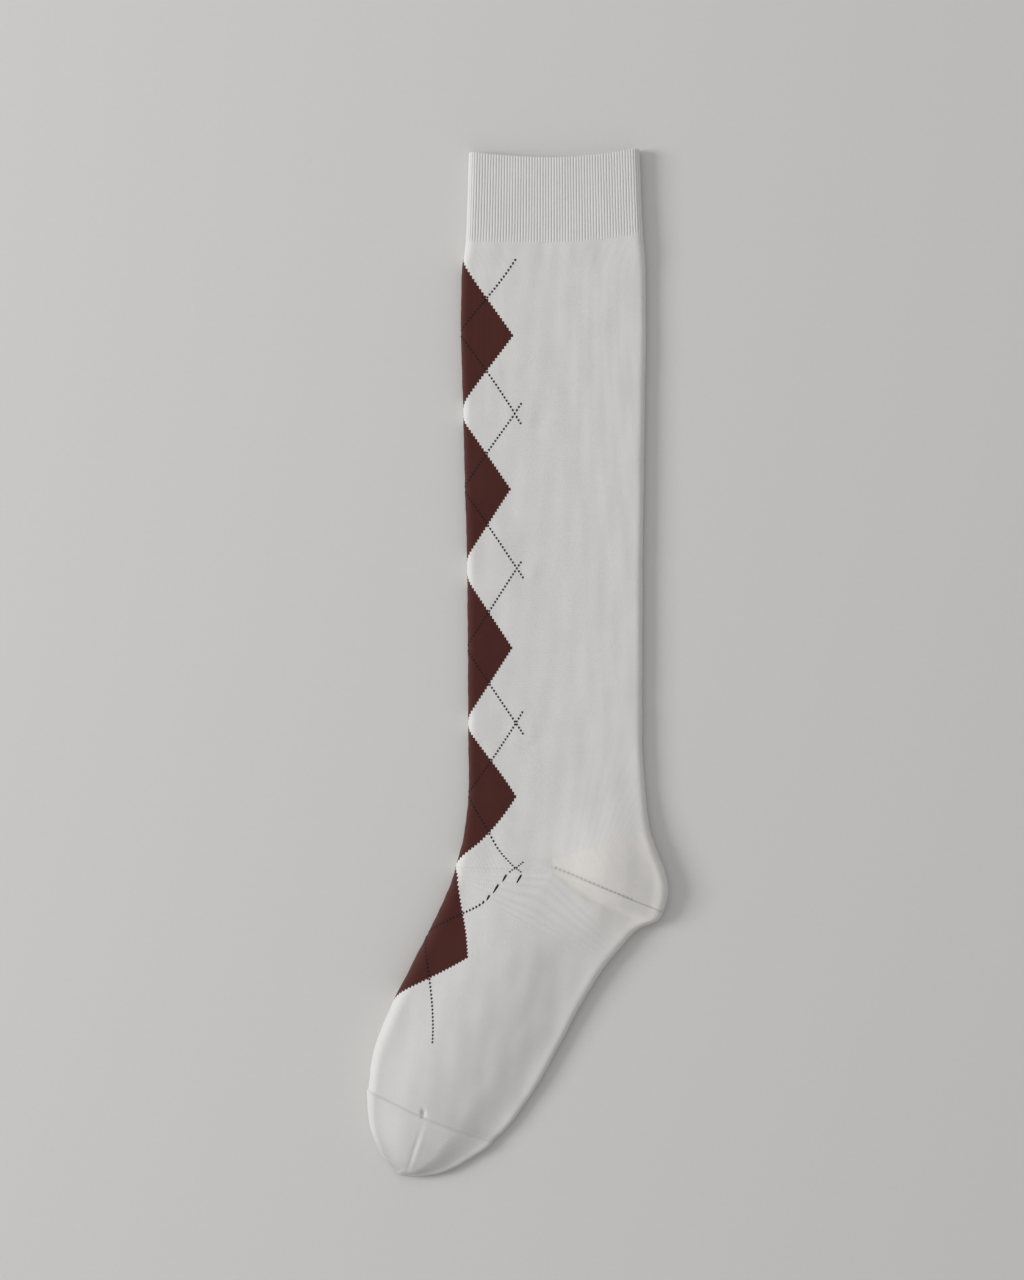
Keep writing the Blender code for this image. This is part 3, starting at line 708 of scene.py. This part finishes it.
def tube_fabric():
    """All the fabric below the cuff, except the heel pocket."""
    outline = outlines(ROW_PLACES)
    wales = np.arange(WALES) - 0.5
    distances = wale_distances(outline, ROW_PLACES, wales)
    points = points_on(outline, distances)
    outwards = directions(points)
    points = points + outwards * lying_relief(points, outwards)[:, :, None]
    points = add_seam_roll(points, outwards)
    points[:, :, 2] = np.maximum(points[:, :, 2], 0.0)
    fabric = Fabric(points, outwards, KNIT_WALL, wales, 2.0 * np.arange(len(points)))
    return fabric


def add_seam_roll(points, outwards):
    """The linked seam stands up as a thin cord, lumpy at each stitch."""
    first = NAMED_ROWS[SEAM_START]
    wales = np.arange(WALES)
    front = (wales <= MIDDLE_WALE + 0.5) | (wales >= WALES - MIDDLE_WALE + 0.5)
    for step in range(1, SEAM_CELLS):
        swell = math.sin(math.pi * step / SEAM_CELLS)
        lumps = 0.75 + 0.25 * np.cos(math.pi * wales)
        lift = 0.0005 * swell * lumps * front
        lift = lift * np.clip(points[first + step, :, 2] / 0.003, 0.0, 1.0)
        points[first + step] += outwards[first + step] * lift[:, None]
    return points


def cell_owners(fabric):
    """Which piece each cell of the tube belongs to, down to the toe."""
    rows = fabric.rows - 1
    row = np.arange(rows)[:, None]
    column = np.arange(WALES)[None, :]
    behind = (column > MIDDLE_WALE) & (column < WALES - MIDDLE_WALE)
    owners = {
        "leg": np.where(behind, row < NAMED_ROWS[HEEL_TOP], row < NAMED_ROWS[ANKLE]),
        "foot": np.where(
            behind,
            (row >= NAMED_ROWS[HEEL_END]) & (row < NAMED_ROWS[SEAM_END]),
            (row >= NAMED_ROWS[ANKLE]) & (row < NAMED_ROWS[SEAM_START]),
        ),
        "toe_seam": ~behind & (row >= NAMED_ROWS[SEAM_START]) & (row < NAMED_ROWS[SEAM_END]),
    }
    side = np.minimum(column, WALES - column)
    for number, first in enumerate(DIAMOND_FIRSTS, start=1):
        step = row - first
        width = np.minimum(step, DIAMOND_CELLS - 1 - step)
        inside = (step >= 0) & (step < DIAMOND_CELLS) & (side <= width)
        owners["argyle_diamond_%d" % number] = inside
        for name in ("leg", "foot"):
            owners[name] = owners[name] & ~inside
    return owners


def close_toe(fabric):
    """Rounds the end of the toe over to a point."""
    last = fabric.outer[-1]
    middle = last.mean(axis=0)
    forward = np.append(on_foot(1.0, 0.0), 0.0)
    rings = []
    for share in (0.35, 0.65, 0.85, 0.96, 0.995):
        inwards = 1.0 - math.sqrt(1.0 - share * share)
        ring = last + (middle - last) * inwards + forward * (0.0012 * share)
        rings.append(ring)
    outer = np.concatenate((fabric.outer, np.array(rings)))
    outwards = directions(outer)
    outwards[-1] = forward
    extended = Fabric(outer, outwards, KNIT_WALL, fabric.wales, 2.0 * np.arange(len(outer)))
    extended.outwards[:len(fabric.outer) - 1] = fabric.outwards[:-1]
    extended.inner[:len(fabric.outer) - 1] = fabric.inner[:-1]
    extended.shade[:len(fabric.outer)] = fabric.shade
    return extended


def heel_fabric():
    """The heel pocket: its rows fan out around the ankle point."""
    places = np.linspace(HEEL_TOP, HEEL_END, HEEL_CELLS + 1)
    outline = outlines(places)
    wales = np.arange(2 * WALES) / 2.0 - 0.5
    distances = wale_distances(outline, places, wales)
    points = points_on(outline, distances)
    outwards = directions(points)
    points = points + outwards * lying_relief(points, outwards)[:, :, None]
    fabric = Fabric(points, outwards, HEEL_WALL, wales, np.arange(HEEL_CELLS + 1.0))
    fabric.distances = distances
    fabric.outline = outline
    fabric.turns = np.interp(
        places, np.arange(HEEL_TOP, HEEL_END + 1), [row.turn for row in HEEL_ROWS]
    )
    return fabric


def punch_gore(fabric):
    """The line of small holes along the heel's gore, with painted shade in them."""
    turn = math.radians(GORE_TURN)
    x = fabric.outer[:, :, 0] + CENTRE[0]
    y = fabric.outer[:, :, 1] + CENTRE[1]
    along = x * math.cos(turn) - y * math.sin(turn)
    across = x * math.sin(turn) + y * math.cos(turn)
    nearest = np.round(along / HOLE_PITCH) * HOLE_PITCH
    reach = (along > HOLE_START) & (along < HOLE_END)
    spot = np.exp(-((along - nearest) / 0.0007) ** 2 - (across / 0.0006) ** 2) * reach
    line = np.exp(-(across / 0.0011) ** 2) * (along > 0.0) * (along < GORE_LENGTH)
    upper = fabric.outwards[:, :, 2] > 0.3
    dent = (HOLE_DEPTH * spot + GORE_DEPTH * line) * upper
    fabric.outer -= fabric.outwards * dent[:, :, None]
    fabric.inner -= fabric.outwards * dent[:, :, None]
    fabric.inner[:, :, 2] = np.maximum(fabric.inner[:, :, 2], 0.0003)
    # Painted shade: darker in the holes and along the gore line.
    fabric.shade = 1.0 - 0.35 * spot * upper - 0.03 * line * upper


def heel_map(fabric):
    """Wales stand upright above the gore and run along the foot below it."""
    def mapping(row, column):
        wrapped = column % fabric.columns
        upper = fabric.wales[wrapped] <= HALF_WALES
        distance = fabric.distances[row, wrapped]
        over = distance - fabric.outline.top_middle[row]
        under = fabric.outline.under_middle[row] - distance
        reach = np.where(upper, over, under)
        side = np.where(upper, 1.0, -1.0)
        turn = fabric.turns[row]
        axis = np.where(turn < GORE_TURN, 0.0, math.degrees(FOOT_ANGLE))
        angle = np.radians(turn - axis)
        return np.stack((
            side * reach * np.cos(angle) / STITCH_WIDTH,
            reach * np.sin(angle) / STITCH_LENGTH,
        ), axis=-1)
    return mapping


def cuff_piece(material):
    """Ribbed welt: a double layer that turns over at the mouth."""
    ribs = 2 * round(0.5 * outlines([CUFF_END]).total[0] / RIB_PITCH)
    columns = ribs * RIB_COLUMNS
    places = np.linspace(MOUTH, CUFF_END, CUFF_ROWS + 1)
    outline = outlines(places)
    shares = np.arange(columns) / columns
    points = points_on(outline, outline.total[:, None] * shares)
    outwards = directions(points)
    profile = np.array((0.0, 0.70, 0.95, 1.0, 0.95, 0.70))
    rise = np.tile(profile, ribs)
    pressed = np.clip(points[:, :, 2] / (0.25 * CUFF_THICKNESS), 0.0, 1.0)
    along = np.linspace(0.0, 1.0, CUFF_ROWS + 1)[:, None]
    grip = 1.0 - 0.8 * np.exp(-((1.0 - along) / 0.025) ** 2)
    points = points - outwards * (FURROW_DEPTH * (1.0 - rise) * pressed * grip)[:, :, None]
    points = points + outwards * (0.4 * lying_relief(points, outwards))[:, :, None]
    inner = points - outwards * CUFF_WALL
    inner[:, :, 2] = np.maximum(inner[:, :, 2], 0.0004)
    up = points[0] - points[1]
    up = up / np.linalg.norm(up, axis=1, keepdims=True)
    rim = []
    for turn in (30.0, 60.0, 90.0, 120.0, 150.0):
        angle = math.radians(turn)
        middle = 0.5 * (points[0] + inner[0])
        half = 0.5 * (points[0] - inner[0])
        rim.append(middle + half * math.cos(angle) + up * (0.5 * CUFF_WALL * math.sin(angle)))
    down_rows = np.concatenate((inner[:1], inner[2::4], inner[-1:]))
    grid = np.concatenate((points[::-1], np.array(rim), down_rows))
    grid[:, :, 2] = np.maximum(grid[:, :, 2], 0.0)
    rows = len(grid)
    row, column = [part.ravel() for part in np.indices((rows, columns))]
    below = (row + 1) % rows
    right = (column + 1) % columns
    quads = np.stack((
        row * columns + column, row * columns + right,
        below * columns + right, below * columns + column,
    ), axis=1)
    steps = np.linalg.norm(np.diff(grid[:, 0], axis=0), axis=1)
    courses = np.concatenate(([0.0], np.cumsum(steps), [0.0])) / CUFF_COURSE
    wale = column / RIB_COLUMNS
    wale_right = (column + 1) / RIB_COLUMNS
    uvs = np.stack((
        np.stack((wale - 0.5, courses[row]), axis=1),
        np.stack((wale_right - 0.5, courses[row]), axis=1),
        np.stack((wale_right - 0.5, courses[row + 1]), axis=1),
        np.stack((wale - 0.5, courses[row + 1]), axis=1),
    ), axis=1)
    shade = np.ones((rows, columns))
    # Painted shade in the furrows between the ribs.
    painted_furrow_shade = np.tile(1.0 - profile, ribs)[None, :]
    shade -= 0.10 * painted_furrow_shade
    item = make_mesh("cuff_knit", grid, quads, uvs, shade)
    item.data.materials.append(material)
    return item


# The black lines: stitches set one to a wale, each a V of two short yarns.
# diamond: number.  way: -1 up the sock from its middle, 1 down.  steps: stitches.
StitchLine = namedtuple("StitchLine", "diamond way steps")
STITCH_LINES = (
    StitchLine(1, -1, 24),
    StitchLine(1, 1, 28),
    StitchLine(2, -1, 28),
    StitchLine(2, 1, 29),
    StitchLine(3, -1, 28),
    StitchLine(3, 1, 28),
    StitchLine(4, -1, 28),
    StitchLine(4, 1, 28),
    StitchLine(5, -1, 28),
    StitchLine(5, 1, 29),
)


def surface_frame(fabric, row, wale):
    """Point, steps per wale and per row, and direction out, at any place on the fabric."""
    def at(grid, row_place, wale_place):
        column = wale_place + 0.5
        low_row = min(int(math.floor(row_place)), fabric.rows - 2)
        low_column = int(math.floor(column))
        down = row_place - low_row
        right = column - low_column
        a = grid[low_row, low_column % WALES]
        b = grid[low_row, (low_column + 1) % WALES]
        c = grid[low_row + 1, low_column % WALES]
        d = grid[low_row + 1, (low_column + 1) % WALES]
        return (a * (1 - right) + b * right) * (1 - down) + (c * (1 - right) + d * right) * down

    point = at(fabric.outer, row, wale)
    across = at(fabric.outer, row, wale + 0.5) - at(fabric.outer, row, wale - 0.5)
    down = at(fabric.outer, row + 0.5, wale) - at(fabric.outer, row - 0.5, wale)
    out = np.cross(down, across)
    return point, across, down, out / np.linalg.norm(out)


def yarn_leg(start, end, out, half_width, rise):
    """One short yarn as a closed spindle: (points, quads) with pinched ends."""
    along = end - start
    side = np.cross(out, along)
    side = side / np.linalg.norm(side)
    rings = ((0.02, 0.35), (0.2, 0.85), (0.5, 1.0), (0.8, 0.85), (0.98, 0.35))
    points = []
    for share, size in rings:
        for turn in range(6):
            angle = math.pi * turn / 3.0
            points.append(
                start + along * share
                + side * (half_width * size * math.cos(angle))
                + out * (rise * size * math.sin(angle))
            )
    quads = []
    for ring in range(len(rings) - 1):
        for turn in range(6):
            a = ring * 6 + turn
            b = ring * 6 + (turn + 1) % 6
            quads.append((a, b, b + 6, a + 6))
    for first in (0, (len(rings) - 1) * 6):
        order = (0, 3, 2, 1), (0, 5, 4, 3)
        if first:
            order = (0, 1, 2, 3), (0, 3, 4, 5)
        for corners in order:
            quads.append(tuple(first + corner for corner in corners))
    return points, quads


def black_lines(fabric, material):
    points = []
    quads = []
    for line in STITCH_LINES:
        middle = DIAMOND_FIRSTS[line.diamond - 1] + 0.5 * DIAMOND_CELLS
        for side in (-1, 1):
            for step in range(1, line.steps + 1):
                place, across, down, out = surface_frame(
                    fabric, middle + line.way * step, side * step
                )
                foot = place + down * 0.42 + out * 0.00004
                for lean in (-1, 1):
                    head = place - down * 0.36 + across * (0.30 * lean) + out * 0.00004
                    base = foot + across * (0.06 * lean)
                    new_points, new_quads = yarn_leg(base, head, out, 0.00031, 0.00016)
                    offset = len(points)
                    points.extend(new_points)
                    quads.extend([tuple(offset + corner for corner in quad) for quad in new_quads])
    points = np.array(points)
    points[:, 2] = np.maximum(points[:, 2], 0.00002)
    quads = np.array(quads)
    uvs = np.zeros((len(quads), 4, 2))
    item = make_mesh("argyle_lines", points, quads, uvs, np.ones(len(points)))
    item.data.materials.append(material)
    return item


def dress(item, node_name=None):
    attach(item, "root")
    if node_name:
        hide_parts(node_name)
    return item


def build_sock():
    # The second colour of each knit is its painted shade between the yarns.
    white = knit_material("white cotton knit", (0.80, 0.79, 0.775), (0.62, 0.61, 0.60), 0.00018)
    rib = knit_material("white ribbed knit", (0.80, 0.79, 0.78), (0.60, 0.59, 0.585), 0.00014)
    cream = knit_material("cream heel knit", (0.84, 0.81, 0.775), (0.66, 0.63, 0.60), 0.00020)
    maroon = knit_material(
        "maroon cotton knit", (0.080, 0.018, 0.013), (0.045, 0.010, 0.008), 0.00018,
        sheen=0.15, mottle=0.10,
    )
    black = knit_material(
        "black cotton yarn", (0.020, 0.019, 0.022), (0.014, 0.013, 0.015), 0.00003,
        sheen=0.1, mottle=0.15,
    )

    tube = tube_fabric()
    owners = cell_owners(tube)
    tube_pieces = {
        "leg": ("leg_knit", white, "white_knit"),
        "foot": ("foot_knit", white, "white_knit"),
        "toe_seam": ("toe_seam_knit", white, "white_knit"),
    }
    for number in range(1, len(DIAMOND_ROWS) + 1):
        name = "argyle_diamond_%d" % number
        tube_pieces[name] = ("diamond_knit_%d" % number, maroon, "maroon_knit")
    for node_name, (piece_name, material, slot_name) in tube_pieces.items():
        item = tube.piece(piece_name, owners[node_name])
        item.data.materials.append(material)
        dress(item, node_name)

    toe = close_toe(tube)
    owned = np.zeros((toe.rows - 1, WALES), bool)
    owned[NAMED_ROWS[SEAM_END]:] = True
    item = toe.piece("toe_knit", owned)
    item.data.materials.append(white)
    dress(item, "toe")

    heel = heel_fabric()
    punch_gore(heel)
    columns = np.arange(2 * WALES)
    behind = (columns >= 2 * (MIDDLE_WALE + 0.5)) & (columns < 2 * (WALES - MIDDLE_WALE + 0.5))
    owned = np.tile(behind, (HEEL_CELLS, 1))
    item = heel.piece("heel_knit", owned, heel_map(heel))
    item.data.materials.append(cream)
    dress(item, "heel")

    dress(cuff_piece(rib), "cuff")
    dress(black_lines(tube, black))


# The scene around the sock.

# The image is 1024 x 1280; the sock's outline was measured at this size of a pixel.
PIXEL = 0.00053
IMAGE_WIDTH = 1024
IMAGE_HEIGHT = 1280
OUTLINE_MIDDLE = (517.5, 663.5)
CAMERA_HEIGHT = 1.6
OUTLINE_HEIGHT = 0.0037
SENSOR = 36.0


def add_camera():
    data = bpy.data.cameras.new("camera")
    data.sensor_width = SENSOR
    data.sensor_fit = "AUTO"
    data.lens = SENSOR * (CAMERA_HEIGHT - OUTLINE_HEIGHT) / (IMAGE_HEIGHT * PIXEL)
    item = bpy.data.objects.new("camera", data)
    item.location = (
        (0.5 * IMAGE_WIDTH - OUTLINE_MIDDLE[0]) * PIXEL,
        (OUTLINE_MIDDLE[1] - 0.5 * IMAGE_HEIGHT) * PIXEL,
        CAMERA_HEIGHT,
    )
    bpy.context.scene.collection.objects.link(item)
    bpy.context.scene.camera = item


def add_floor():
    mesh = bpy.data.meshes.new("floor")
    half = 4.0
    mesh.from_pydata(
        [(-half, -half, 0.0), (half, -half, 0.0), (half, half, 0.0), (-half, half, 0.0)],
        [], [(0, 1, 2, 3)],
    )
    material = bpy.data.materials.new("warm pale floor")
    material.use_nodes = True
    tree = material.node_tree
    shader = tree.nodes["Principled BSDF"]
    shader.inputs["Roughness"].default_value = 0.85
    shader.inputs["Specular IOR Level"].default_value = 0.2
    place = tree.nodes.new("ShaderNodeTexCoord")
    grain = node(tree, "ShaderNodeTexNoise", Scale=350.0, Detail=4.0, Roughness=0.6)
    tree.links.new(place.outputs["Object"], grain.inputs["Vector"])
    ramp = tree.nodes.new("ShaderNodeValToRGB")
    ramp.color_ramp.elements[0].color = (0.655, 0.640, 0.625, 1.0)
    ramp.color_ramp.elements[1].color = (0.685, 0.670, 0.655, 1.0)
    tree.links.new(grain.outputs["Fac"], ramp.inputs["Fac"])
    tree.links.new(ramp.outputs["Color"], shader.inputs["Base Color"])
    mesh.materials.append(material)
    item = bpy.data.objects.new("floor", mesh)
    bpy.context.scene.collection.objects.link(item)


def add_light(name, position, size, power, colour):
    data = bpy.data.lights.new(name, "AREA")
    data.shape = "SQUARE"
    data.size = size
    data.energy = power
    data.color = colour
    item = bpy.data.objects.new(name, data)
    item.location = position
    item.rotation_euler = (-Vector(position)).to_track_quat("-Z", "Y").to_euler()
    bpy.context.scene.collection.objects.link(item)


def add_lights():
    add_light("window", (-2.75, 0.35, 1.50), 1.2, 62.0, (1.0, 0.995, 0.98))
    add_light("high fill", (-0.6, 1.6, 2.6), 2.5, 12.0, (0.98, 0.99, 1.0))
    world = bpy.data.worlds.new("soft room")
    world.use_nodes = True
    background = world.node_tree.nodes["Background"]
    background.inputs["Color"].default_value = (0.98, 0.99, 1.0, 1.0)
    background.inputs["Strength"].default_value = 0.42
    bpy.context.scene.world = world
    bpy.context.scene.view_settings.view_transform = "Standard"
    bpy.context.scene.view_settings.look = "None"


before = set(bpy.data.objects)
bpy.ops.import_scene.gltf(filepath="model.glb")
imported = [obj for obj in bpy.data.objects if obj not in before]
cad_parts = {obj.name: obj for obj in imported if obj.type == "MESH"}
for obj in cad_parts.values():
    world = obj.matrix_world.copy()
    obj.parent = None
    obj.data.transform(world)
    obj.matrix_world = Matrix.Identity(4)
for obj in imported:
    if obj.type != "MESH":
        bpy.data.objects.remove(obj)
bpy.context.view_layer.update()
add_camera()
add_floor()
add_lights()
build_sock()
